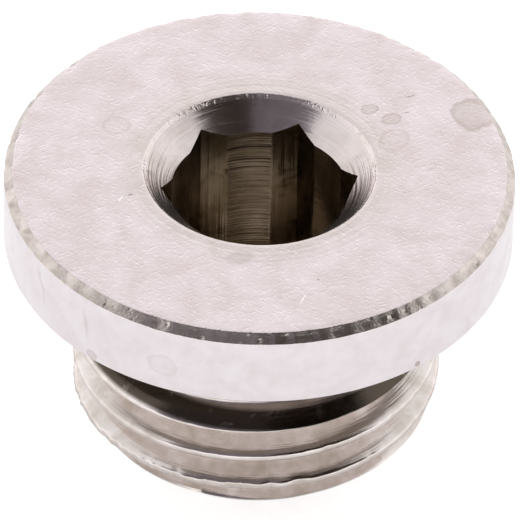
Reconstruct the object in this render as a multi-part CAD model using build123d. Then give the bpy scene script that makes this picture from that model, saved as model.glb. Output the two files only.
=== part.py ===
"""Blind plug with an outside pipe thread, a sealing flange and a hexagon socket.

One turned piece of nickel-plated brass. Millimetres, +Z along the axis towards the socket. The
origin is on the axis in the sealing plane, the underside of the flange: the flange stands above
it and the threaded shank hangs below it. A corner of the hexagon points along +X.
"""
from build123d import *

import math
import os

# Flange
flange_diameter = 18.0
flange_thickness = 3.0
flange_chamfer = 0.3
flange_edge_break = 0.1

# Parallel pipe thread, nominal size one quarter, right-handed
thread_major_diameter = 13.157
thread_pitch = 1.337
thread_angle = 55.0
thread_crest_drop = 3.16  # sealing plane down to the first crest where it crosses +X

# Shank under the flange
shank_length = 8.0
shank_end_diameter = 10.6
shank_end_angle = 45.0

# Relief groove between the sealing plane and the thread
relief_diameter = 11.2
relief_width = 2.75
relief_corner_radius = 0.4
relief_shoulder_angle = 45.0

# Hexagon socket, broached in a drilled pilot bore
key_size = 6.0
key_clearance = 0.05
hexagon_depth = 6.5
pilot_bore_diameter = 6.25
pilot_bore_depth = 7.2
drill_point_angle = 118.0
countersink_diameter = 8.25
countersink_angle = 90.0

# Pipe thread form: of the height at which the flanks would meet, a sixth is cut off at each end
flank_slope = math.tan(math.radians(thread_angle / 2))
sharp_height = thread_pitch / 2 / flank_slope
thread_depth = sharp_height * 2 / 3
major_radius = thread_major_diameter / 2
minor_radius = major_radius - thread_depth
sharp_crest_radius = major_radius + sharp_height / 6

flange_radius = flange_diameter / 2
relief_radius = relief_diameter / 2
shank_end_radius = shank_end_diameter / 2
stock_margin = 1.0


def slope_run(rise: float, angle: float) -> float:
    """Axial length of a cone that changes its radius by rise at angle degrees from the axis."""
    return rise / math.tan(math.radians(angle))


def turned_outline() -> Part:
    """Outside of the plug as the lathe leaves it, with the thread's own crests left free."""
    free_radius = sharp_crest_radius + stock_margin
    points = [
        (0, flange_thickness),
        (flange_radius - flange_chamfer, flange_thickness),
        (flange_radius, flange_thickness - flange_chamfer),
        (flange_radius, flange_edge_break),
        (flange_radius - flange_edge_break, 0),
        (relief_radius, 0),
        (relief_radius, -relief_width),
        (free_radius, -relief_width - slope_run(free_radius - relief_radius, relief_shoulder_angle)),
        (free_radius, -shank_length + slope_run(free_radius - shank_end_radius, shank_end_angle)),
        (shank_end_radius, -shank_length),
        (0, -shank_length),
    ]
    section = Plane.XZ * make_face(Polyline(points, close=True))
    corner = section.vertices().sort_by_distance((relief_radius, 0, 0))[0]
    return revolve(fillet(corner, relief_corner_radius), Axis.Z)


def thread_ridge() -> Part:
    """Flat-crested ridge wound up the shank, longer at both ends than the outline that trims it."""
    base_radius = minor_radius - thread_depth / 8
    half_base = (sharp_crest_radius - base_radius) * flank_slope
    half_crest = (sharp_crest_radius - major_radius) * flank_slope
    turns_below = math.ceil((shank_length - thread_crest_drop) / thread_pitch) + 1
    turns_above = math.ceil((thread_crest_drop - relief_width) / thread_pitch) + 1
    start = -thread_crest_drop - turns_below * thread_pitch
    path = Helix(
        pitch=thread_pitch,
        height=(turns_below + turns_above) * thread_pitch,
        radius=major_radius,
        center=(0, 0, start),
    )
    points = [
        (base_radius, start - half_base),
        (major_radius, start - half_crest),
        (major_radius, start + half_crest),
        (base_radius, start + half_base),
    ]
    section = Plane.XZ * make_face(Polyline(points, close=True))
    return sweep(section, path=path, is_frenet=True)


def threaded_stock() -> Part:
    """Rod of the thread's minor diameter with the ridge on it, and a bar for the flange."""
    rod = Cylinder(minor_radius, shank_length + stock_margin, align=(Align.CENTER, Align.CENTER, Align.MAX))
    threaded_rod = rod + thread_ridge()
    bar_height = flange_thickness + stock_margin + relief_width / 2
    bar = Pos(0, 0, -relief_width / 2) * Cylinder(
        flange_radius + stock_margin, bar_height, align=(Align.CENTER, Align.CENTER, Align.MIN)
    )
    return threaded_rod + bar


def socket() -> Part:
    """Space of the countersink, the pilot bore with its drill point, and the hexagon."""
    bore_radius = pilot_bore_diameter / 2
    mouth_radius = countersink_diameter / 2
    over = slope_run(stock_margin, countersink_angle / 2)
    cone_depth = slope_run(mouth_radius - bore_radius, countersink_angle / 2)
    points = [
        (0, over),
        (mouth_radius + stock_margin, over),
        (bore_radius, -cone_depth),
        (bore_radius, -pilot_bore_depth),
        (0, -pilot_bore_depth - slope_run(bore_radius, drill_point_angle / 2)),
    ]
    bore = revolve(Plane.XZ * make_face(Polyline(points, close=True)), Axis.Z)
    corner_radius = (key_size + key_clearance) / 2 / math.cos(math.pi / 6)
    hexagon = extrude(RegularPolygon(corner_radius, 6), -hexagon_depth)
    return Pos(0, 0, flange_thickness) * (bore + hexagon)


def plug() -> Part:
    """The whole plug, one solid."""
    return (threaded_stock() & turned_outline()) - socket()


os.makedirs("parts", exist_ok=True)
export_step(plug(), "parts/plug.step")
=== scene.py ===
"""Looks of a blind plug: turned brass, nickel plated, tumbled and a little water stained.

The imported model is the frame. One closed skin stands for its solid, ring by ring round the axis:
socket, top face, flange, sealing face, relief groove, thread and end face. Lengths are written in
millimetres and become metres in one place, where the mesh is made.
"""
import logging
import math
from dataclasses import dataclass, field
from enum import Enum

import bpy
import numpy as np
from bpy.types import ID, Material, Node, NodeSocket, NodeTree, Object
from mathutils import Matrix, Vector


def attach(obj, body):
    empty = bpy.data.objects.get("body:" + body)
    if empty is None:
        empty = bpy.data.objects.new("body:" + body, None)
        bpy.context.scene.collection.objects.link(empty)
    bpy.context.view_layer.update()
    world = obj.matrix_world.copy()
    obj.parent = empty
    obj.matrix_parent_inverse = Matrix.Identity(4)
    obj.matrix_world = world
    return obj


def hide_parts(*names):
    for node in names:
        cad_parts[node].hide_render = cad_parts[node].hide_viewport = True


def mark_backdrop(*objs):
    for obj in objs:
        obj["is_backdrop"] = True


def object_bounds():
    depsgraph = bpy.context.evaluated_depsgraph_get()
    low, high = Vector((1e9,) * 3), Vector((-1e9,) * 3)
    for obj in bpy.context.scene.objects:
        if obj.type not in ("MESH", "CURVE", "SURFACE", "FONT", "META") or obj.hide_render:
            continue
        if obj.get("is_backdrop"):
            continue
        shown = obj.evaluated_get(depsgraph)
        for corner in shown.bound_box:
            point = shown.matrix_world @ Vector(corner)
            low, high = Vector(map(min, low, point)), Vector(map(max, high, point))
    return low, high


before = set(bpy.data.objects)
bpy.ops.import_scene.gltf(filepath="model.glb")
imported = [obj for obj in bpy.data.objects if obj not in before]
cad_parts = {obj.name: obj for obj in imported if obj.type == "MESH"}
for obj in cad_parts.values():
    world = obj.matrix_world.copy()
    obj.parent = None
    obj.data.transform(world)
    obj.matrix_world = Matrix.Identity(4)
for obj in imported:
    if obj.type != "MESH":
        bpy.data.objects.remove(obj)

logging.basicConfig(level=logging.INFO, format="%(levelname)s %(message)s")
log = logging.getLogger("blind_plug")

Array = np.ndarray
Pair = tuple[float, float]

MM = 0.001
NODE = "plug"
SLOT = "nickel_plated_brass"
WELD_DISTANCE = 1e-5  # mm
SHARP_ANGLE = 32.0  # degrees between two faces from which their edge is sharp
FLAT = 1e4  # scale that takes a coordinate out of a pattern
WHITE = (1.0, 1.0, 1.0, 1.0)
MAIN_SETTING = {"Math": "operation", "VectorMath": "operation", "Mix": "data_type", "Mapping": "vector_type",
                "MapRange": "interpolation_type"}


class Zone(Enum):
    """The differently worked stretches of the surface, in the order of the material slots."""

    FACE = 0
    CONE = 1
    BORE = 2
    HEXAGON = 3
    CHAMFER = 4
    RIM = 5
    GROOVE = 6
    THREAD = 7


class Lay(Enum):
    """Direction of the marks that a tool leaves."""

    ROUND = "round the axis"
    ALONG = "along the axis"


@dataclass
class Band:
    """A stretch of the skin between two rings.

    Attributes:
        zone: How it was worked.
        radius: Radii in mm, a row for each ring and a column for each angle.
        height: Heights in mm, of the same shape.
    """

    zone: Zone
    radius: Array
    height: Array


def between(start: tuple, end: tuple, rows: int) -> tuple[Array, Array]:
    """Rings evenly spaced from one ring to another.

    Args:
        start: Radius and height of the first ring, as numbers or by column.
        end: Radius and height of the last ring.
        rows: Number of steps.

    Returns:
        Radii and heights, one row per ring.
    """
    share = np.linspace(0.0, 1.0, rows + 1)[:, None]
    ends = ((np.atleast_1d(a)[None], np.atleast_1d(b)[None]) for a, b in zip(start, end))
    return tuple(a * (1 - share) + b * share for a, b in ends)


def turned(corners: list[tuple[float, float, float, float]]) -> list[Array]:
    """Outline with rounded corners: straight runs, and an arc tangent to both runs at each corner.

    The centre of an arc lies on the bisector of its two runs, at its radius divided by the sine
    of half the angle between them.

    Args:
        corners: Radius, height and rounding of each corner, and the longest step after it. The
            two ends have no rounding.

    Returns:
        For each run its points as rows of radius and height, with half of the arc at either end.
    """
    runs, first = [], np.array([corners[0][:2]])
    for before, here, after in zip(corners, corners[1:], corners[2:]):
        spot, rounding = np.array(here[:2]), here[2]
        into, out = np.array(before[:2]) - spot, np.array(after[:2]) - spot
        into, out = into / np.linalg.norm(into), out / np.linalg.norm(out)
        half = math.acos(into @ out) / 2
        centre = spot + (into + out) / np.linalg.norm(into + out) * rounding / math.sin(half)
        start, end = (spot + way * rounding / math.tan(half) - centre for way in (into, out))
        swing, share = math.pi - 2 * half, np.linspace(0.0, 1.0, 7)[:, None]
        arc = centre + (start * np.sin((1 - share) * swing) + end * np.sin(share * swing)) / math.sin(swing)
        runs.append(np.concatenate([first, arc[:4]]))
        first = arc[3:]
    runs.append(np.concatenate([first, [corners[-1][:2]]]))
    filled = []
    for run, corner in zip(runs, corners):
        counts = np.maximum(1, np.ceil(np.linalg.norm(np.diff(run, axis=0), axis=1) / corner[3])).astype(int)
        pieces = [a + (b - a) * np.arange(n)[:, None] / n for a, b, n in zip(run, run[1:], counts)]
        filled.append(np.concatenate([*pieces, run[-1:]]))
    return filled


@dataclass
class Wear:
    """What tumbling left in the shape: dents, nicks and uneven edges, all from one seed.

    Attributes:
        seed: Seed of every random draw.
        dents: Number of wide, shallow dents on the top face.
        dent_length: Shortest and longest dent, in mm.
        dent_depth: Shallowest and deepest dent, in mm.
        nick_length: Shortest and longest nick in an edge, in mm.
        edge_waves: Fewest and most waves round an uneven edge.
    """

    seed: int = 11
    dents: int = 110
    dent_length: Pair = (0.45, 1.3)
    dent_depth: Pair = (0.002, 0.007)
    nick_length: Pair = (0.12, 0.34)
    edge_waves: tuple[int, int] = (9, 120)

    def uneven(self, turn: Array, size: float, stream: int) -> Array:
        """Unevenness round the axis: sine waves with random phases, weaker as they get finer.

        Args:
            turn: Angles round the axis in radians.
            size: Root mean square of the sum, in mm.
            stream: Number that makes each edge its own.

        Returns:
            Heights in mm, never below zero.
        """
        draw = np.random.default_rng((self.seed, stream))
        waves = np.arange(*self.edge_waves)
        phases = draw.uniform(0.0, 2 * math.pi, len(waves))
        strengths = draw.normal(size=len(waves)) / np.sqrt(waves)
        total = strengths @ np.sin(waves[:, None] * turn[None] + phases[:, None])
        total *= size / np.sqrt((strengths**2).sum() / 2)
        return total - total.min()

    def nicks(self, along: Array, reach: Pair, count: int, depth: float, stream: int) -> Array:
        """Depth of nicks along an edge: each is a Gaussian of the distance from its middle.

        Args:
            along: Places along the edge in mm.
            reach: First and last place of a nick.
            count: Number of nicks.
            depth: Depth of the deepest nick, in mm.
            stream: Number that makes each edge its own.
        """
        draw = np.random.default_rng((self.seed, stream))
        middles, lengths = draw.uniform(*reach, count), draw.uniform(*self.nick_length, count)
        total = np.zeros(along.shape)
        for middle, length, share in zip(middles, lengths, draw.uniform(0.2, 1.0, count)):
            total = np.maximum(total, depth * share * np.exp(-(((along - middle) * 2 / length) ** 2)))
        return total

    def face_dents(self, x: Array, y: Array, inner: float, outer: float) -> Array:
        """Depth of the top face's dents, in mm.

        Each dent is a long pit with a raised lip. With u along it and v across it, in shares of
        its half sizes, the depth goes as (1 - v squared) exp(-u squared - v squared).

        Args:
            x: Places along X in mm.
            y: Places along Y in mm.
            inner: Radius inside which no dent has its middle.
            outer: Radius outside which none has.
        """
        draw = np.random.default_rng((self.seed, 1))
        reach = np.sqrt(draw.uniform(inner**2, outer**2, self.dents))
        around = draw.uniform(0.0, 2 * math.pi, self.dents)
        lean = draw.normal(0.3, 0.7, self.dents)
        length = draw.uniform(*self.dent_length, self.dents) / 2
        width = length * draw.uniform(0.4, 0.8, self.dents)
        depth = draw.uniform(*self.dent_depth, self.dents)
        middles = zip(reach * np.cos(around), reach * np.sin(around))
        total = np.zeros(x.shape)
        for (cx, cy), a, l, w, d in zip(middles, lean, length, width, depth):
            u = ((x - cx) * math.cos(a) + (y - cy) * math.sin(a)) / l
            v = ((y - cy) * math.cos(a) - (x - cx) * math.sin(a)) / w
            total += d * (1 - v**2) * np.exp(-(u**2) - v**2)
        return total


@dataclass
class Socket:
    """Countersink, pilot bore and hexagon, measured in mm from the top face down.

    Attributes:
        across_flats: Width of the hexagon between opposite flats.
        hexagon_depth: Depth of the hexagon's floor.
        bore_radius: Radius of the pilot bore, which cuts into the flats.
        bore_depth: Depth of the bore's wall.
        drill_angle: Full angle of the drill point, in degrees.
        mouth_radius: Radius of the countersink at the top face.
        mouth_rounding: Radius of the burnished lip round the mouth.
    """

    across_flats: float = 6.05
    hexagon_depth: float = 6.5
    bore_radius: float = 3.125
    bore_depth: float = 7.2
    drill_angle: float = 118.0
    mouth_radius: float = 4.125
    mouth_rounding: float = 0.15

    @property
    def flat_reach(self) -> float:
        """Half the angle at the axis, in radians, that the bore takes out of a flat."""
        return math.acos(self.across_flats / 2 / self.bore_radius)

    def wall_radius(self, turn: Array) -> Array:
        """Radius of the socket's wall: the bore or the hexagon, whichever is wider.

        Args:
            turn: Angles round the axis in radians, with a corner of the hexagon at zero.
        """
        sixth = math.pi / 3
        from_flat = np.mod(turn, sixth) - sixth / 2
        return np.maximum(self.bore_radius, self.across_flats / 2 / np.cos(from_flat))

    def bands(self, turn: Array, top: float) -> list[Band]:
        """Drill point, bore, hexagon and countersink, from the bottom up.

        Args:
            turn: Angles of the columns in radians.
            top: Height of the top face in mm.
        """
        wall, bore = self.wall_radius(turn), np.full(len(turn), self.bore_radius)
        edge = top - (self.mouth_radius - wall)
        tip = top - self.bore_depth - self.bore_radius / math.tan(math.radians(self.drill_angle / 2))
        bore_end, floor = top - self.bore_depth, top - self.hexagon_depth
        lip = self.mouth_radius - self.mouth_rounding
        return [
            Band(Zone.BORE, *between((0 * bore, tip), (bore, bore_end), 6)),
            Band(Zone.BORE, *between((bore, bore_end), (bore, floor), 3)),
            Band(Zone.HEXAGON, *between((bore, floor), (wall, floor), 2)),
            Band(Zone.HEXAGON, *between((wall, floor), (wall, edge), 14)),
            Band(Zone.CONE, *between((wall, edge), (lip, top - self.mouth_rounding), 8)),
        ]


@dataclass
class Flange:
    """Round head of the plug, in mm.

    Attributes:
        radius: Outside radius.
        height: Height of the top face over the sealing plane.
        chamfer: Width of the chamfer round the top face.
        edge_break: Width of the chamfer round the sealing face.
        rounding: Radius left by tumbling on each outside edge.
        unevenness: Root mean square of the unevenness of the chamfer.
        nicks: Number of nicks in the chamfer.
        nick_depth: Depth of the deepest of them.
    """

    radius: float = 9.0
    height: float = 3.0
    chamfer: float = 0.3
    edge_break: float = 0.1
    rounding: float = 0.09
    unevenness: float = 0.012
    nicks: int = 60
    nick_depth: float = 0.07

    def bands(self, turn: Array, socket: Socket, shank: "Shank", wear: Wear) -> list[Band]:
        """Lip of the mouth, top face, chamfer, rim, sealing face and the groove's fillet.

        The chamfer is pushed in by its unevenness and its nicks, and the push fades as a
        Gaussian of the distance from the chamfer's middle.

        Args:
            turn: Angles of the columns in radians.
            socket: Socket in the top face.
            shank: Shank under the flange.
            wear: Dents and nicks.
        """
        zones = [Zone.FACE, Zone.FACE, Zone.CHAMFER, Zone.RIM, Zone.RIM, Zone.GROOVE, Zone.GROOVE]
        runs = turned([
            (socket.mouth_radius - socket.mouth_rounding, self.height - socket.mouth_rounding, 0.0, 0.2),
            (socket.mouth_radius, self.height, socket.mouth_rounding, 0.14),
            (self.radius - self.chamfer, self.height, self.rounding, 0.1),
            (self.radius, self.height - self.chamfer, self.rounding, 0.5),
            (self.radius, self.edge_break, self.rounding, 0.5),
            (self.radius - self.edge_break, 0.0, self.edge_break / 2, 0.6),
            (shank.relief_radius, 0.0, shank.corner_radius, 0.3),
            (shank.relief_radius, -shank.relief_width / 2, 0.0, 0.3),
        ])
        arc = turn * self.radius
        nicks = wear.nicks(arc, (arc[0] + 1, arc[-1] - 1), self.nicks, self.nick_depth, 3)
        push = (wear.uneven(turn, self.unevenness, 2) + nicks) / math.sqrt(2)
        made = []
        for zone, run in zip(zones, runs):
            radius, height = (np.repeat(run[:, n, None], len(turn), axis=1) for n in (0, 1))
            away = np.hypot(radius - self.radius + self.chamfer / 2, height - self.height + self.chamfer / 2)
            shift = push * np.exp(-((away / self.chamfer) ** 2))
            if zone is Zone.FACE:
                from_edges = np.minimum(radius - socket.mouth_radius, self.radius - self.chamfer - radius)
                x, y = radius * np.cos(turn), radius * np.sin(turn)
                pits = wear.face_dents(x, y, socket.mouth_radius, self.radius)
                height = height - np.clip(from_edges * 4, 0.0, 1.0) * np.maximum(0.0, pits)
            made.append(Band(zone, radius - shift, height - shift))
        return made


@dataclass
class Shank:
    """Relief groove, thread and end chamfer, in mm below the sealing plane.

    Attributes:
        length: Length of the shank.
        end_radius: Radius of the end face.
        relief_radius: Radius of the relief groove.
        relief_width: Height of the groove's wall.
        corner_radius: Fillet between the groove and the sealing face.
        major_radius: Radius over the thread's crests.
        pitch: Rise of the thread in one turn.
        flank_angle: Angle between the two flanks of a groove, in degrees.
        crest_drop: Depth of the first crest where it crosses +X.
        blend: Width over which the thread runs out at either end.
        close_rows: Depth under a crest down to which the mesh rows are closest.
        nicks: Number of nicks in the crests.
        nick_depth: Depth of the deepest of them.
        battered: Ends of the stretch along the helix that took the most knocks.
        battered_nicks: Number of nicks there.
        battered_depth: Depth of the deepest of them.
    """

    length: float = 8.0
    end_radius: float = 5.3
    relief_radius: float = 5.6
    relief_width: float = 2.75
    corner_radius: float = 0.4
    major_radius: float = 6.5785
    pitch: float = 1.337
    flank_angle: float = 55.0
    crest_drop: float = 3.16
    blend: float = 0.1
    close_rows: float = 0.28
    nicks: int = 260
    nick_depth: float = 0.04
    battered: Pair = (-105.0, -92.0)
    battered_nicks: int = 70
    battered_depth: float = 0.1

    @property
    def crest_arc(self) -> tuple[float, float, float]:
        """Height at which the flanks would meet, rounding's radius, and its reach along the axis."""
        half = math.radians(self.flank_angle / 2)
        sharp = self.pitch / 2 / math.tan(half)
        rounding = sharp / 6 / (1 / math.sin(half) - 1)
        return sharp, rounding, rounding * math.cos(half)

    def outline(self, height: Array) -> Array:
        """Radius that the lathe leaves at a height: groove, shoulder at 45 degrees, end chamfer."""
        shoulder = self.relief_radius + np.maximum(0.0, -self.relief_width - height)
        return np.minimum(shoulder, self.end_radius + self.length + height)

    def from_crest(self, turn: Array, height: Array) -> Array:
        """Height over the nearest crest of the thread, from minus to plus half a pitch."""
        crest = self.pitch * turn / (2 * math.pi) - self.crest_drop
        return np.mod(height - crest + self.pitch / 2, self.pitch) - self.pitch / 2

    def thread(self, from_crest: Array) -> Array:
        """Radius of an endless Whitworth thread.

        It is a circular arc over the crest, a straight flank, and the same arc turned over in
        the root.

        Args:
            from_crest: Heights over the nearest crest in mm.
        """
        sharp, rounding, arc_reach = self.crest_arc
        away = np.abs(from_crest)
        from_root = self.pitch / 2 - away
        root_radius = self.major_radius - sharp * 2 / 3
        flank = self.major_radius + sharp / 6 - away / math.tan(math.radians(self.flank_angle / 2))
        over = self.major_radius - rounding + np.sqrt(np.maximum(0.0, rounding**2 - away**2))
        under = root_radius + rounding - np.sqrt(np.maximum(0.0, rounding**2 - from_root**2))
        return np.where(away < arc_reach, over, np.where(from_root < arc_reach, under, flank))

    def radius(self, turn: Array, height: Array, wear: Wear) -> Array:
        """Radius of the shank: the lower of thread and outline, blended where they cross.

        Nicks lower the crests, each along the helix.

        Args:
            turn: Angles round the axis in radians.
            height: Heights in mm, of the same shape.
            wear: Dents and nicks.
        """
        over_crest = self.from_crest(turn, height)
        along = (height - over_crest + self.crest_drop) / self.pitch * 2 * math.pi * self.major_radius
        reach = 2 * math.pi * self.major_radius * self.length / self.pitch
        nick = np.maximum(wear.nicks(along, (-reach, reach / 2), self.nicks, self.nick_depth, 4),
                          wear.nicks(along, self.battered, self.battered_nicks, self.battered_depth, 5))
        cut, wound = self.outline(height), self.thread(over_crest)
        wound = wound - nick * np.exp(-((over_crest / self.crest_arc[2]) ** 2))
        share = np.clip(0.5 + 0.5 * (cut - wound) / self.blend, 0.0, 1.0)
        return cut + (wound - cut) * share - self.blend * share * (1 - share)

    def row_offsets(self) -> Array:
        """Places of the mesh rows in one pitch, from a crest downwards.

        They are closest just under the crest, where the edge of the shoulder runs.
        """
        arc_reach, half_pitch = self.crest_arc[2], self.pitch / 2
        return np.concatenate([
            np.linspace(0.0, self.close_rows, 12)[:-1],
            np.linspace(self.close_rows, half_pitch - arc_reach, 4)[:-1],
            half_pitch + arc_reach * np.linspace(-1.0, 1.0, 7)[:-1],
            np.linspace(half_pitch + arc_reach, self.pitch - arc_reach, 5)[:-1],
            self.pitch - arc_reach * np.linspace(1.0, 0.0, 5)[:-1],
        ])

    def bands(self, turn: Array, wear: Wear) -> list[Band]:
        """Thread with its run-outs, and the end face.

        The rows follow the helix and are held between the middle of the relief groove and the
        end, so that they close up to a flat ring at both.

        Args:
            turn: Angles of the columns in radians.
            wear: Dents and nicks.
        """
        high, low = -self.relief_width / 2, -self.length
        first = math.ceil((self.length + self.pitch) / self.pitch)
        starts = -self.crest_drop + self.pitch * np.arange(first, -first - 1, -1)
        rows = (starts[:, None] - self.row_offsets()[None]).ravel()
        rows = rows[(rows < high + self.pitch / 8) & (rows > low - self.pitch * 9 / 8)]
        height = np.clip(rows[:, None] + self.pitch * turn[None] / (2 * math.pi), low, high)
        height = np.concatenate([np.full((1, len(turn)), high), height, np.full((1, len(turn)), low)])
        radius = self.radius(np.broadcast_to(turn[None], height.shape), height, wear)
        end = between((radius[-1], low), (0 * turn, low), 6)
        return [Band(Zone.THREAD, radius, height), Band(Zone.THREAD, *end)]


@dataclass
class PlugSkin:
    """Closed skin of the whole plug, worked out as rings of points round the axis.

    Attributes:
        arc_columns: Mesh columns on each arc that the bore cuts into a flat.
        flat_columns: Columns from there to the hexagon's corner.
    """

    socket: Socket = field(default_factory=Socket)
    flange: Flange = field(default_factory=Flange)
    shank: Shank = field(default_factory=Shank)
    wear: Wear = field(default_factory=Wear)
    arc_columns: int = 26
    flat_columns: int = 14

    def turns(self) -> Array:
        """Angles of the columns, once round, on every hexagon corner and end of a bore arc."""
        reach, sixth = self.socket.flat_reach, math.pi / 3
        flat = np.linspace(-sixth / 2, -reach, self.flat_columns + 1)
        arc = np.linspace(-reach, reach, self.arc_columns + 1)
        sector = np.concatenate([flat[:-1], arc[:-1], -flat[:0:-1]]) + sixth / 2
        return np.append(np.concatenate([sector + sixth * n for n in range(6)]), 2 * math.pi)

    def build(self) -> Object:
        """Makes the skin's object from all bands, welded where points coincide."""
        turn = self.turns()
        bands = (self.socket.bands(turn, self.flange.height)
                 + self.flange.bands(turn, self.socket, self.shank, self.wear)
                 + self.shank.bands(turn, self.wear))
        radius = np.concatenate([np.broadcast_to(b.radius, (len(b.radius), len(turn))) for b in bands])
        height = np.concatenate([np.broadcast_to(b.height, (len(b.height), len(turn))) for b in bands])
        zone = np.concatenate([np.full(len(b.radius), b.zone.value) for b in bands])
        points = np.stack([radius * np.cos(turn), radius * np.sin(turn), height], axis=-1) * MM
        quads = grid_quads(*radius.shape)
        zones = np.broadcast_to(zone[:-1, None], quads.shape[:2]).copy()
        in_bore = self.socket.wall_radius((turn[:-1] + turn[1:]) / 2) <= self.socket.bore_radius
        zones[(zones == Zone.HEXAGON.value) & in_bore[None]] = Zone.BORE.value
        in_groove = (height[:-1, :-1] + height[1:, 1:]) / 2 > -self.shank.relief_width
        zones[(zones == Zone.THREAD.value) & in_groove] = Zone.GROOVE.value
        return weld(NODE + "_skin", points.reshape(-1, 3), quads.reshape(-1, 4), zones.ravel())

    def dress(self, skin: Object) -> None:
        """Gives each zone of the skin its finish."""
        for zone in Zone:
            skin.data.materials.append(FINISHES[zone].material())


def grid_quads(rows: int, columns: int) -> Array:
    """Four point numbers for each face of a grid whose points are numbered row by row."""
    index = np.arange(rows * columns).reshape(rows, columns)
    return np.stack([index[:-1, :-1], index[:-1, 1:], index[1:, 1:], index[1:, :-1]], axis=-1)


def weld(name: str, points: Array, quads: Array, zones: Array) -> Object:
    """Makes an object of quads, with coinciding points joined and flat faces dropped.

    Args:
        name: Name of the object and its mesh.
        points: Places in metres, one row each.
        quads: Four point numbers for each face.
        zones: Material slot of each face.

    Returns:
        The new object, at the origin.
    """
    grid = np.round(points / (MM * WELD_DISTANCE)).astype(np.int64)
    _, keep, number = np.unique(grid, axis=0, return_index=True, return_inverse=True)
    faces = number.reshape(-1)[quads]
    doubled = faces == np.roll(faces, -1, axis=1)
    whole, tapered = ~doubled.any(axis=1), doubled.sum(axis=1) == 1
    triangles = faces[tapered][~doubled[tapered]].reshape(-1, 3)
    corners = np.concatenate([faces[whole].ravel(), triangles.ravel()])
    sizes = np.concatenate([np.full(whole.sum(), 4), np.full(len(triangles), 3)])
    mesh = bpy.data.meshes.new(name)
    mesh.vertices.add(len(keep))
    mesh.vertices.foreach_set("co", points[keep].ravel())
    mesh.loops.add(len(corners))
    mesh.loops.foreach_set("vertex_index", corners.astype(np.int32))
    mesh.polygons.add(len(sizes))
    mesh.polygons.foreach_set("loop_start", np.concatenate([[0], np.cumsum(sizes)[:-1]]).astype(np.int32))
    slots = np.concatenate([zones[whole], zones[tapered]])
    mesh.polygons.foreach_set("material_index", slots.astype(np.int32))
    mesh.update(calc_edges=True)
    mesh.validate()
    mesh.shade_smooth()
    mesh.set_sharp_from_angle(angle=math.radians(SHARP_ANGLE))
    return placed(name, mesh)


def placed(name: str, data: ID) -> Object:
    """Makes an object of a mesh or a camera and puts it in the scene."""
    made = bpy.data.objects.new(name, data)
    bpy.context.scene.collection.objects.link(made)
    return made


def emptied(made: ID) -> NodeTree:
    """Node tree of a new material or world, without its first nodes."""
    made.use_nodes = True
    made.node_tree.nodes.clear()
    return made.node_tree


def linear(code: str) -> tuple[float, float, float, float]:
    """Linear colour of an sRGB hex code such as 'd8d0ce'."""
    parts = [int(code[n:n + 2], 16) / 255 for n in (0, 2, 4)]
    return tuple(p / 12.92 if p <= 0.04045 else ((p + 0.055) / 1.055) ** 2.4 for p in parts) + (1.0,)


def add(tree: NodeTree, kind: str, inputs: dict | None = None, settings: dict | None = None) -> Node:
    """Adds a node, sets it and feeds its sockets.

    Args:
        tree: Node tree to add to.
        kind: Name of the node class without 'ShaderNode', and after a full stop its main setting.
        inputs: Socket name, or number where a name is repeated, to a value, an output socket, or a
            node whose first usable output is taken.
        settings: Other properties, and under 'stops' the places and greys of a colour ramp.

    Returns:
        The new node.
    """
    kind, _, choice = kind.partition(".")
    node = tree.nodes.new("ShaderNode" + kind)
    if choice:
        setattr(node, MAIN_SETTING[kind], choice)
    for key, value in (settings or {}).items():
        if key != "stops":
            setattr(node, key, value)
            continue
        elements = node.color_ramp.elements
        while len(elements) < len(value):
            elements.new(1.0)
        for element, (place, grey) in zip(elements, value):
            element.position, element.color = place, (grey, grey, grey, 1.0)
    for key, value in (inputs or {}).items():
        usable = [s for s in node.inputs if not s.is_unavailable]
        target = node.inputs[key] if isinstance(key, int) else next(s for s in usable if s.name == key)
        if isinstance(value, Node):
            value = next(s for s in value.outputs if not s.is_unavailable)
        if isinstance(value, NodeSocket):
            tree.links.new(value, target)
        else:
            target.default_value = value
    return node


def from_middle(tree: NodeTree, place: Node, middle: Pair, half: Pair, turn: float) -> Node:
    """Distance from the middle of an ellipse, in shares of its half axes.

    Args:
        tree: Node tree to add to.
        place: Coordinates on the surface in mm.
        middle: Middle of the ellipse.
        half: Its half axes.
        turn: Its turn in radians.
    """
    local = add(tree, "Mapping.TEXTURE", {
        "Vector": place, "Location": (*middle, 0.0), "Rotation": (0.0, 0.0, turn), "Scale": (*half, FLAT)})
    return add(tree, "VectorMath.LENGTH", {0: local})


def from_axis(tree: NodeTree, place: Node) -> Node:
    """Distance from the axis in mm: the length of the coordinates with Z taken out."""
    flat = add(tree, "VectorMath.MULTIPLY", {0: place, 1: (1.0, 1.0, 0.0)})
    return add(tree, "VectorMath.LENGTH", {0: flat})


@dataclass(frozen=True)
class Stain:
    """Dried water: an ellipse with a wavering outline and a darker rim, in mm on the surface.

    Attributes:
        place: Middle of the stain.
        half: Half axes of the ellipse.
        turn: Turn of the ellipse in degrees.
        strength: Share of the stain's colour at its rim.
        fill: Share inside the rim.
    """

    place: Pair
    half: Pair
    turn: float
    strength: float
    fill: float

    def share(self, tree: NodeTree, place: Node, waver: Node) -> Node:
        """Share of the stain's colour: a ramp over the distance from the middle, in full axes.

        Args:
            tree: Node tree to add to.
            place: Coordinates on the surface in mm.
            waver: Noise that bends the outline.
        """
        full = (2 * self.half[0], 2 * self.half[1])
        away = from_middle(tree, place, self.place, full, math.radians(self.turn))
        bent = add(tree, "Math.MULTIPLY_ADD", {0: waver, 1: 0.4, 2: away})
        inside = [(0.0, self.fill * 0.7), (0.58, self.fill)]
        rim = [(0.66, self.strength), (0.71, self.strength), (0.78, 0.0)]
        return add(tree, "ValToRGB", {"Fac": bent}, {"stops": inside + rim})


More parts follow.
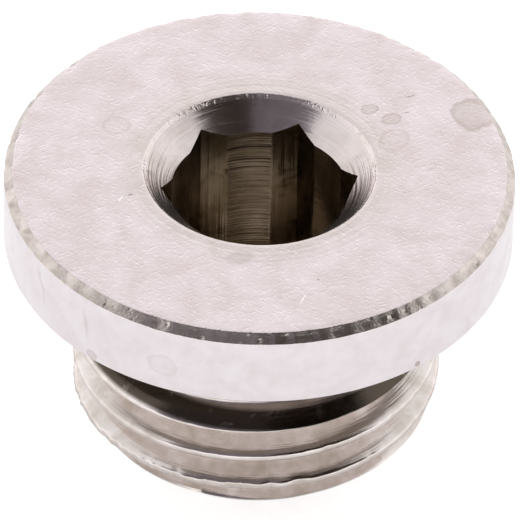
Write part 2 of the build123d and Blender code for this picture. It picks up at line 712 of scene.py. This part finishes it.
@dataclass(frozen=True)
class Scratch:
    """A scratch, from one end to the other, in mm on the surface.

    Attributes:
        start: One end.
        end: Other end.
        width: Width at the middle.
        depth: Depth at the middle.
        tone: Share of white, painted as a glint along the scratch, or below zero of dark, painted as shade
            along it.
    """

    start: Pair
    end: Pair
    width: float
    depth: float
    tone: float

    def share(self, tree: NodeTree, place: Node) -> Node:
        """Share of the depth: one in the middle, smoothly nothing at the edge of a long ellipse.

        Args:
            tree: Node tree to add to.
            place: Coordinates on the surface in mm.
        """
        across, up = self.end[0] - self.start[0], self.end[1] - self.start[1]
        middle = ((self.start[0] + self.end[0]) / 2, (self.start[1] + self.end[1]) / 2)
        half = (math.hypot(across, up) / 2, self.width / 2)
        away = from_middle(tree, place, middle, half, math.atan2(up, across))
        return add(tree, "MapRange.SMOOTHSTEP", {"Value": away, "To Min": 1.0, "To Max": 0.0})


@dataclass(frozen=True)
class Dents:
    """Short dents strewn over a surface, at most one in each cell of a stretched grid.

    Attributes:
        cell: Length and width of a cell in mm.
        turn: Direction of the cells in degrees.
        reach: Half size of a dent, as a share of its cell.
        depth: Depth in mm.
        share: Share of the cells that have a dent.
    """

    cell: Pair
    turn: float
    reach: float
    depth: float
    share: float

    def height(self, tree: NodeTree, place: Node) -> Node:
        """Height in mm: a smooth pit round the point of each cell that has one.

        Args:
            tree: Node tree to add to.
            place: Coordinates in mm.
        """
        local = add(tree, "Mapping.TEXTURE", {
            "Vector": place, "Rotation": (0.0, 0.0, math.radians(self.turn)),
            "Scale": (*self.cell, math.sqrt(self.cell[0] * self.cell[1]))})
        cells = add(tree, "TexVoronoi", {"Vector": local, "Scale": 1.0})
        pit = add(tree, "MapRange.SMOOTHSTEP", {
            "Value": cells.outputs["Distance"], "From Max": self.reach, "To Min": -self.depth, "To Max": 0.0})
        luck = add(tree, "SeparateColor", {"Color": cells.outputs["Color"]})
        chosen = add(tree, "Math.LESS_THAN", {0: luck.outputs["Red"], 1: self.share})
        return add(tree, "Math.MULTIPLY", {0: pit, 1: chosen})


@dataclass(frozen=True)
class Nickel:
    """Satin nickel plating over worked brass.

    Attributes:
        how: How the surface was made, which ends the material's name.
        clean: sRGB hex of the clean plating's reflection.
        cloudy: sRGB hex of its cloudier patches.
        roughness: Roughness of the clean plating.
        dull: Roughness that the cloudy patches add.
        cloud: Size of the patches in mm.
        grain: Size of the finest unevenness in mm.
        grain_depth: Depth of it in mm.
        dents: Dents from tumbling.
    """

    how: str
    clean: str
    cloudy: str
    roughness: float = 0.28
    dull: float = 0.1
    cloud: float = 1.6
    grain: float = 0.16
    grain_depth: float = 0.0016
    dents: tuple[Dents, ...] = ()

    def colour(self, tree: NodeTree, place: Node, clouds: Node) -> Node:
        """Colour all over: from clean to cloudy with the clouds.

        Args:
            tree: Node tree to add to.
            place: Coordinates in mm, not used here.
            clouds: Noise between zero and one.
        """
        share = add(tree, "MapRange", {"Value": clouds, "From Min": 0.35, "From Max": 0.68})
        return add(tree, "Mix.RGBA", {"Factor": share, "A": linear(self.clean), "B": linear(self.cloudy)})

    def height(self, tree: NodeTree, place: Node) -> Node:
        """Height of the fine relief in mm: grain and dents.

        Args:
            tree: Node tree to add to.
            place: Coordinates in mm.
        """
        grain = add(tree, "TexNoise", {
            "Vector": place, "Scale": 1 / self.grain, "Detail": 2.0, "Roughness": 0.6})
        total = add(tree, "Math.MULTIPLY", {0: grain, 1: self.grain_depth})
        for layer in self.dents:
            total = add(tree, "Math.ADD", {0: total, 1: layer.height(tree, place)})
        return total

    def material(self) -> Material:
        """Builds the metal's material."""
        made = bpy.data.materials.new(f"{SLOT}_{self.how}")
        tree = emptied(made)
        coordinates = add(tree, "TexCoord")
        place = add(tree, "VectorMath.SCALE", {0: coordinates.outputs["Object"], "Scale": 1 / MM})
        clouds = add(tree, "TexNoise", {
            "Vector": place, "Scale": 1 / self.cloud, "Detail": 3.0, "Roughness": 0.62, "Distortion": 0.4})
        relief = add(tree, "Bump", {"Distance": MM, "Height": self.height(tree, place)})
        rough = add(tree, "Math.MULTIPLY_ADD", {0: clouds, 1: self.dull, 2: self.roughness - self.dull / 2})
        shader = add(tree, "BsdfPrincipled", {
            "Base Color": self.colour(tree, place, clouds), "Metallic": 1.0, "Roughness": rough,
            "Normal": relief})
        add(tree, "OutputMaterial", {"Surface": shader})
        return made


@dataclass(frozen=True)
class FaceNickel(Nickel):
    """Plating of the top face, with water stains, scratches with painted glints and shade, and the last rings
    of facing.

    Attributes:
        stained: sRGB hex of the stains.
        near_mouth: sRGB hex of the plating round the mouth.
        mouth: Radii in mm between which that colour fades.
        ring_depth: Depth of the facing rings at the mouth, in mm.
        stains: Water stains.
        scratches: Scratches, whose colour is painted glints and painted shade.
    """

    stained: str = "ab9d90"
    near_mouth: str = "d2c8c0"
    mouth: Pair = (4.2, 5.3)
    ring_depth: float = 0.035
    stains: tuple[Stain, ...] = ()
    scratches: tuple[Scratch, ...] = ()

    def colour(self, tree: NodeTree, place: Node, clouds: Node) -> Node:
        """Colour of the face: clouds, a warmer ring round the mouth, stains, then painted glints and painted
        shade along the scratches.
        """
        base = super().colour(tree, place, clouds)
        near = add(tree, "MapRange.SMOOTHSTEP", {
            "Value": from_axis(tree, place), "From Min": self.mouth[0], "From Max": self.mouth[1],
            "To Min": 1.0, "To Max": 0.0})
        near = add(tree, "Math.MULTIPLY", {0: near, 1: clouds})
        base = add(tree, "Mix.RGBA", {"Factor": near, "A": base, "B": linear(self.near_mouth)})
        waver = add(tree, "TexNoise", {"Vector": place, "Scale": 1.5, "Detail": 1.5})
        share = 0.0
        for stain in self.stains:
            share = add(tree, "Math.MAXIMUM", {0: share, 1: stain.share(tree, place, waver)})
        base = add(tree, "Mix.RGBA", {"Factor": share, "A": base, "B": linear(self.stained)})
        tone = 0.0
        for scratch in self.scratches:
            tone = add(tree, "Math.MULTIPLY_ADD", {0: scratch.share(tree, place), 1: scratch.tone, 2: tone})
        # Painted glints: scratches with a tone above zero are mixed towards white.
        painted_glint = add(tree, "Math.MAXIMUM", {0: tone, 1: 0.0})
        base = add(tree, "Mix.RGBA", {"Factor": painted_glint, "A": base, "B": WHITE})
        # Painted shade: scratches with a tone below zero are mixed towards the dark 5a504c.
        painted_scratch_shade = add(tree, "Math.MULTIPLY", {0: tone, 1: -1.0}, {"use_clamp": True})
        return add(tree, "Mix.RGBA", {"Factor": painted_scratch_shade, "A": base, "B": linear("5a504c")})

    def height(self, tree: NodeTree, place: Node) -> Node:
        """Relief of the face: dents, scratches, and rings that fade away from the mouth."""
        total = super().height(tree, place)
        radius = from_axis(tree, place)
        rings = add(tree, "TexNoise", {"W": radius, "Scale": 5.0, "Detail": 1.0}, {"noise_dimensions": "1D"})
        fade = add(tree, "MapRange", {
            "Value": radius, "From Min": self.mouth[0], "From Max": self.mouth[1],
            "To Min": self.ring_depth, "To Max": 0.0})
        total = add(tree, "Math.MULTIPLY_ADD", {0: rings, 1: fade, 2: total})
        for scratch in self.scratches:
            share = scratch.share(tree, place)
            total = add(tree, "Math.MULTIPLY_ADD", {0: share, 1: -scratch.depth, 2: total})
        return total


@dataclass(frozen=True)
class RimNickel(Nickel):
    """Plating of the flange's rim, with tide lines of dried water.

    Attributes:
        radius: Radius of the rim in mm, on which the marks are unrolled.
        stained: sRGB hex of the marks.
        stains: Water stains, with the arc length from +X and the height as their place.
        tide_lines: Tide lines, as scratches without depth.
    """

    radius: float = 9.0
    stained: str = "97846f"
    stains: tuple[Stain, ...] = ()
    tide_lines: tuple[Scratch, ...] = ()

    def colour(self, tree: NodeTree, place: Node, clouds: Node) -> Node:
        """Colour of the rim: clouds, then stains and tide lines on the unrolled rim.

        Unrolled are the angle from +X times the radius, and the height.
        """
        base = super().colour(tree, place, clouds)
        parts = add(tree, "SeparateXYZ", {"Vector": place})
        angle = add(tree, "Math.ARCTAN2", {0: parts.outputs["Y"], 1: parts.outputs["X"]})
        arc = add(tree, "Math.MULTIPLY", {0: angle, 1: self.radius})
        waver = add(tree, "TexNoise", {"Vector": place, "Scale": 1.4, "Detail": 4.0})
        bent = add(tree, "Math.MULTIPLY_ADD", {0: waver, 1: 0.5, 2: arc})
        unrolled = add(tree, "CombineXYZ", {"X": bent, "Y": parts.outputs["Z"], "Z": 0.0})
        share = 0.0
        for stain in self.stains:
            share = add(tree, "Math.MAXIMUM", {0: share, 1: stain.share(tree, unrolled, waver)})
        for line in self.tide_lines:
            strength = add(tree, "Math.MULTIPLY", {0: line.share(tree, unrolled), 1: -line.tone})
            share = add(tree, "Math.MAXIMUM", {0: share, 1: strength})
        return add(tree, "Mix.RGBA", {"Factor": share, "A": base, "B": linear(self.stained)})


@dataclass(frozen=True)
class CutNickel(Nickel):
    """Plating over a surface that still shows the tool's marks, tarnished in patches, or with painted shade
    where the patches are held to a band between two levels.

    Attributes:
        lay: Direction of the tool's marks.
        line: Distance between the marks in mm.
        line_depth: Depth of the marks in mm.
        tarnish_and_shade_colour: sRGB hex of the tarnish, and within levels of the painted shade.
        patch_size: Size of the darkened patches in mm.
        covered: Share of the surface that is darkened where the patches lie.
        softness: Width of a patch's edge, as a share of the noise.
        levels: Lowest and highest level in mm of a band of painted shade, or none for tarnish over the whole
            surface.
    """

    lay: Lay = Lay.ROUND
    line: float = 0.12
    line_depth: float = 0.0012
    tarnish_and_shade_colour: str = "8a7a5c"
    patch_size: float = 1.0
    covered: float = 0.3
    softness: float = 0.2
    levels: Pair | None = None

    def colour(self, tree: NodeTree, place: Node, clouds: Node) -> Node:
        """Colour of the plating, darkened where a finer noise is above a level: tarnish, and in a band
        between levels painted shade.
        """
        base = super().colour(tree, place, clouds)
        patches = add(tree, "TexNoise", {
            "Vector": place, "Scale": 1 / self.patch_size, "Detail": 5.0, "Roughness": 0.66, "Distortion": 0.6})
        start = 0.72 - 0.44 * self.covered
        share = add(tree, "MapRange.SMOOTHSTEP", {
            "Value": patches, "From Min": start, "From Max": start + self.softness})
        # Painted shade: levels hold the darkening to a band, the dark reflection under the flange.
        if self.levels:
            low, high = self.levels
            level = add(tree, "SeparateXYZ", {"Vector": place}).outputs["Z"]
            away = add(tree, "Math.SUBTRACT", {0: level, 1: (low + high) / 2})
            away = add(tree, "Math.ABSOLUTE", {0: away})
            inside = add(tree, "MapRange.SMOOTHSTEP", {
                "Value": away, "From Min": (high - low) * 0.35, "From Max": (high - low) * 0.6,
                "To Min": 1.0, "To Max": 0.0})
            share = add(tree, "Math.MULTIPLY", {0: share, 1: inside})
        return add(tree, "Mix.RGBA", {"Factor": share, "A": base, "B": linear(self.tarnish_and_shade_colour)})

    def height(self, tree: NodeTree, place: Node) -> Node:
        """Relief of the tool's marks: noise drawn out along their direction.

        Marks round the axis are noise over the distance from it and the height, and marks along
        it are noise over X and Y. The third coordinate is shrunk.
        """
        total = super().height(tree, place)
        if self.lay is Lay.ROUND:
            parts = add(tree, "SeparateXYZ", {"Vector": place})
            slow = add(tree, "Math.MULTIPLY", {0: parts.outputs["X"], 1: 0.03})
            drawn = add(tree, "CombineXYZ", {"X": from_axis(tree, place), "Y": parts.outputs["Z"], "Z": slow})
        else:
            drawn = add(tree, "VectorMath.MULTIPLY", {0: place, 1: (1.0, 1.0, 0.02)})
        lines = add(tree, "TexNoise", {
            "Vector": drawn, "Scale": 1 / self.line, "Detail": 2.0, "Roughness": 0.55})
        return add(tree, "Math.MULTIPLY_ADD", {0: lines, 1: self.line_depth, 2: total})


# Painted shade: a dark band on the shoulder between the groove and the thread, standing in for the dark
# reflection under the flange.
SHOULDER_PAINTED_SHADE = {
    "tarnish_and_shade_colour": "574e46", "patch_size": 0.7, "covered": 1.3, "softness": 0.3, "levels": (-3.62, -3.08)}

FINISHES: dict[Zone, Nickel] = {
    # Faced, tumbled and plated: pale and satin, strewn with fine dents.
    Zone.FACE: FaceNickel(
        "tumbled", "ebdfe2", "dfd1d1", roughness=0.26, cloud=1.5,
        grain=0.14, grain_depth=0.015,
        dents=(
            Dents((0.55, 0.17), -38.0, 0.34, 0.01, 0.8), Dents((0.7, 0.16), 24.0, 0.34, 0.01, 0.6),
            Dents((0.24, 0.15), 65.0, 0.36, 0.012, 0.8), Dents((0.4, 0.13), 100.0, 0.34, 0.01, 0.6)),
        stains=(
            Stain((7.85, 2.19), (0.67, 0.83), 15.6, 0.45, 0.26),
            Stain((4.25, 2.85), (0.3, 0.26), 0.0, 0.45, 0.3),
            Stain((4.93, 2.23), (0.36, 0.3), 20.0, 0.4, 0.25),
            Stain((4.92, 1.08), (0.62, 0.5), 40.0, 0.22, 0.08),
            Stain((-4.76, 2.80), (0.5, 0.42), 0.0, 0.2, 0.05),
            Stain((-1.21, -4.71), (0.5, 0.3), 10.0, 0.15, 0.3)),
        scratches=(
            Scratch((-5.17, -1.41), (-4.84, -0.90), 0.09, 0.012, 0.8),
            Scratch((-4.85, -1.06), (-4.46, -0.99), 0.08, 0.014, -0.6),
            Scratch((5.38, 3.30), (6.13, 3.51), 0.07, 0.014, -0.5),
            Scratch((5.42, 3.22), (6.0, 3.37), 0.06, 0.01, 0.6),
            Scratch((5.28, 2.48), (5.75, 2.55), 0.08, 0.012, -0.4),
            Scratch((0.48, -7.49), (0.93, -6.59), 0.07, 0.012, 0.7),
            Scratch((0.93, -6.59), (1.19, -6.46), 0.07, 0.01, 0.6),
            Scratch((1.24, -6.14), (1.44, -6.08), 0.12, 0.014, -0.4),
            Scratch((-6.89, -1.52), (-6.49, -1.34), 0.07, 0.01, 0.5))),
    # Countersunk: bright, with close rings.
    Zone.CONE: CutNickel(
        "countersunk", "d6cccb", "c2b7b2", roughness=0.22,
        line=0.1, line_depth=0.018, covered=0.25, tarnish_and_shade_colour="8d847c"),
    # Drilled: thin plating deep in the hole, olive and ringed.
    Zone.BORE: CutNickel(
        "drilled", "c4b9ad", "9f927f", roughness=0.24,
        line=0.16, line_depth=0.03, covered=0.3, tarnish_and_shade_colour="7d6c55"),
    # Broached: thin plating with marks down the flats.
    Zone.HEXAGON: CutNickel(
        "broached", "b0a495", "85775f", roughness=0.2,
        lay=Lay.ALONG, line=0.14, line_depth=0.018, covered=0.45, tarnish_and_shade_colour="54452f"),
    # Turned chamfer, peened by tumbling: mottled.
    Zone.CHAMFER: Nickel(
        "chamfered", "d6ccc7", "b1a69f", roughness=0.3, cloud=0.6,
        grain=0.1, grain_depth=0.012, dents=(Dents((0.4, 0.26), 20.0, 0.36, 0.02, 0.9),)),
    # Turned rim: bright, with faint marks of dried water.
    Zone.RIM: RimNickel(
        "turned", "ebe4e7", "e3dadc", roughness=0.24, cloud=0.9,
        grain_depth=0.006, dents=(Dents((0.6, 0.4), 0.0, 0.25, 0.008, 0.6),),
        stains=(
            Stain((-21.13, 0.31), (0.26, 0.16), 0.0, 0.3, 0.25),
            Stain((-18.3, 1.15), (0.5, 0.42), 0.0, 0.12, 0.05),
            Stain((-8.97, 0.25), (0.12, 0.1), 0.0, 0.7, 0.6)),
        tide_lines=(
            Scratch((-24.1, 2.9), (-23.5, 0.4), 0.34, 0.0, -0.24),
            Scratch((-21.6, 2.6), (-21.2, 0.55), 0.3, 0.0, -0.22))),
    # Grooved and faced under the flange: grey plating, painted darker as the shade under the flange.
    Zone.GROOVE: CutNickel(
        "grooved_painted_shade", "958b86", "7f756d", roughness=0.26,
        line=0.15, line_depth=0.006, **SHOULDER_PAINTED_SHADE),
    # Thread cut on the lathe: bright, with lines along it and a band of painted shade on the shoulder.
    Zone.THREAD: CutNickel(
        "threaded", "e3dbd8", "cac0b8", roughness=0.19, cloud=1.1,
        line=0.09, line_depth=0.008, **SHOULDER_PAINTED_SHADE),
}


@dataclass
class Studio:
    """White table, white surround with a dark side behind the camera, and the camera.

    The camera's place is in mm from the plug's axis and the sealing plane, as the photographer
    sees it. Angles are in degrees.

    Attributes:
        place: Right, back and up of the camera.
        azimuth: Turn of the photographer round the plug, from the -Y side.
        pan: Turn of the camera to the right.
        tilt: Turn of the camera downwards.
        roll: Turn of the camera about its own axis.
        lens: Focal length in mm for a sensor 36 mm wide.
        horizon: Brightness of the surround at the horizon.
        zenith: Brightness straight above.
        table_glow: Brightness added to the table for reflections.
        table_white: Brightness added to it for the camera.
        shade: Distances from the axis in mm between which the plug's shadow, painted into the table's glow
            for reflections, ends.
        table_half: Half side of the table in mm.
        card_distance: Distance of the dark cards from the plug in mm.
        cards: Name, sides, levels and shade of each dark card.
    """

    place: tuple[float, float, float] = (0.261, 192.19, 166.34)
    azimuth: float = -7.28
    pan: float = -0.054
    tilt: float = 41.095
    roll: float = 1.262
    lens: float = 497.6
    horizon: float = 1.42
    zenith: float = 0.76
    table_glow: float = 0.45
    table_white: float = 0.66
    shade: Pair = (5.2, 8.8)
    table_half: float = 400.0
    card_distance: float = 600.0
    cards: tuple[tuple, ...] = (
        ("grey_card", (-62.0, 10.0), (22.0, 74.0), "757078"),
        ("brown_card", (10.0, 72.0), (22.0, 84.0), "2a211a"))

    def camera(self) -> None:
        """Makes the camera at the photograph's viewing angle."""
        data = bpy.data.cameras.new("camera")
        data.lens, data.sensor_width = self.lens, 36.0
        data.clip_start, data.clip_end = 0.01, 10.0
        made = placed("camera", data)
        right, back, up = self.place
        turn = Matrix.Rotation(math.radians(self.azimuth), 4, "Z")
        aim = (Matrix.Rotation(math.radians(-self.pan), 4, "Z")
               @ Matrix.Rotation(math.radians(90 - self.tilt), 4, "X")
               @ Matrix.Rotation(math.radians(self.roll), 4, "Z"))
        made.matrix_world = turn @ Matrix.Translation(Vector((right, -back, up)) * MM) @ aim
        bpy.context.scene.camera = made

    def table(self, height: float) -> Object:
        """White table top under the plug.

        Args:
            height: Height of the table in metres.
        """
        half = self.table_half * MM
        mesh = bpy.data.meshes.new("table")
        corners = [(-half, -half, 0), (half, -half, 0), (half, half, 0), (-half, half, 0)]
        mesh.from_pydata(corners, [], [(0, 1, 2, 3)])
        made = placed("table", mesh)
        made.location.z = height
        material = bpy.data.materials.new("white_card_matt")
        tree = emptied(material)
        rays = add(tree, "LightPath")
        seen = add(tree, "Math.MAXIMUM", {0: rays.outputs["Is Camera Ray"], 1: rays.outputs["Is Glossy Ray"]})
        seen = add(tree, "Math.MAXIMUM", {0: seen, 1: rays.outputs["Is Transmission Ray"]})
        card = add(tree, "BsdfDiffuse", {"Color": (0.85, 0.85, 0.85, 1.0)})
        # Painted shadow: the glow that reflections see is dimmer near the plug.
        away = add(tree, "VectorMath.LENGTH", {0: add(tree, "TexCoord").outputs["Object"]})
        glow_with_painted_shadow = add(tree, "MapRange.SMOOTHSTEP", {
            "Value": away, "From Min": self.shade[0] * MM, "From Max": self.shade[1] * MM,
            "To Min": self.table_glow / 3, "To Max": self.table_glow})
        strength = add(tree, "MapRange", {
            "Value": rays.outputs["Is Camera Ray"], "To Min": glow_with_painted_shadow, "To Max": self.table_white})
        glow = add(tree, "Emission", {"Color": WHITE, "Strength": strength})
        lit = add(tree, "AddShader", {0: card, 1: glow})
        mix = add(tree, "MixShader", {0: seen, 1: card, 2: lit})
        add(tree, "OutputMaterial", {"Surface": mix})
        mesh.materials.append(material)
        return made

    def dark_card(self, name: str, sides: Pair, levels: Pair, shade: str) -> Object:
        """Dark card behind the camera, a patch of a sphere that only reflections see.

        Args:
            name: Name of the card.
            sides: Left and right edge in degrees from the camera's azimuth.
            levels: Lower and upper edge in degrees over the horizon.
            shade: sRGB hex of the card.
        """
        reach = self.card_distance * MM
        across, up = np.meshgrid(np.radians(np.linspace(*sides, 17)), np.radians(np.linspace(*levels, 13)))
        turn = across + math.radians(self.azimuth)
        points = np.stack([np.sin(turn) * np.cos(up), -np.cos(turn) * np.cos(up), np.sin(up)], -1) * reach
        quads = grid_quads(*across.shape).reshape(-1, 4)
        mesh = bpy.data.meshes.new(name)
        mesh.from_pydata(points.reshape(-1, 3).tolist(), [], quads.tolist())
        made = placed(name, mesh)
        material = bpy.data.materials.new(name + "_matt")
        tree = emptied(material)
        glow = add(tree, "Emission", {"Color": linear(shade)})
        add(tree, "OutputMaterial", {"Surface": glow})
        mesh.materials.append(material)
        made.visible_camera = False
        return made

    def world(self) -> None:
        """White surround, brightest at the horizon, falling off with the sine of the height."""
        world = bpy.data.worlds.new("white_surround")
        tree = emptied(world)
        up = add(tree, "SeparateXYZ", {"Vector": add(tree, "TexCoord").outputs["Generated"]})
        strength = add(tree, "MapRange", {
            "Value": up.outputs["Z"], "To Min": self.horizon, "To Max": self.zenith})
        back = add(tree, "Background", {"Color": WHITE, "Strength": strength})
        add(tree, "OutputWorld", {"Surface": back})
        bpy.context.scene.world = world

    def build(self, floor: float) -> None:
        """Sets up the studio.

        Args:
            floor: Height of the table in metres.
        """
        self.camera()
        self.world()
        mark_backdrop(self.table(floor), *(self.dark_card(*card) for card in self.cards))
        bpy.context.scene.view_settings.view_transform = "Standard"


def main() -> None:
    """Builds the plug's skin, dresses it and sets up the studio round it."""
    cad_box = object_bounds()
    plug = PlugSkin()
    skin = plug.build()
    plug.dress(skin)
    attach(skin, "root")
    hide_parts(NODE)
    log.info("%s: %d faces", skin.name, len(skin.data.polygons))
    Studio().build(cad_box[0].z)


if __name__ == "__main__":
    main()
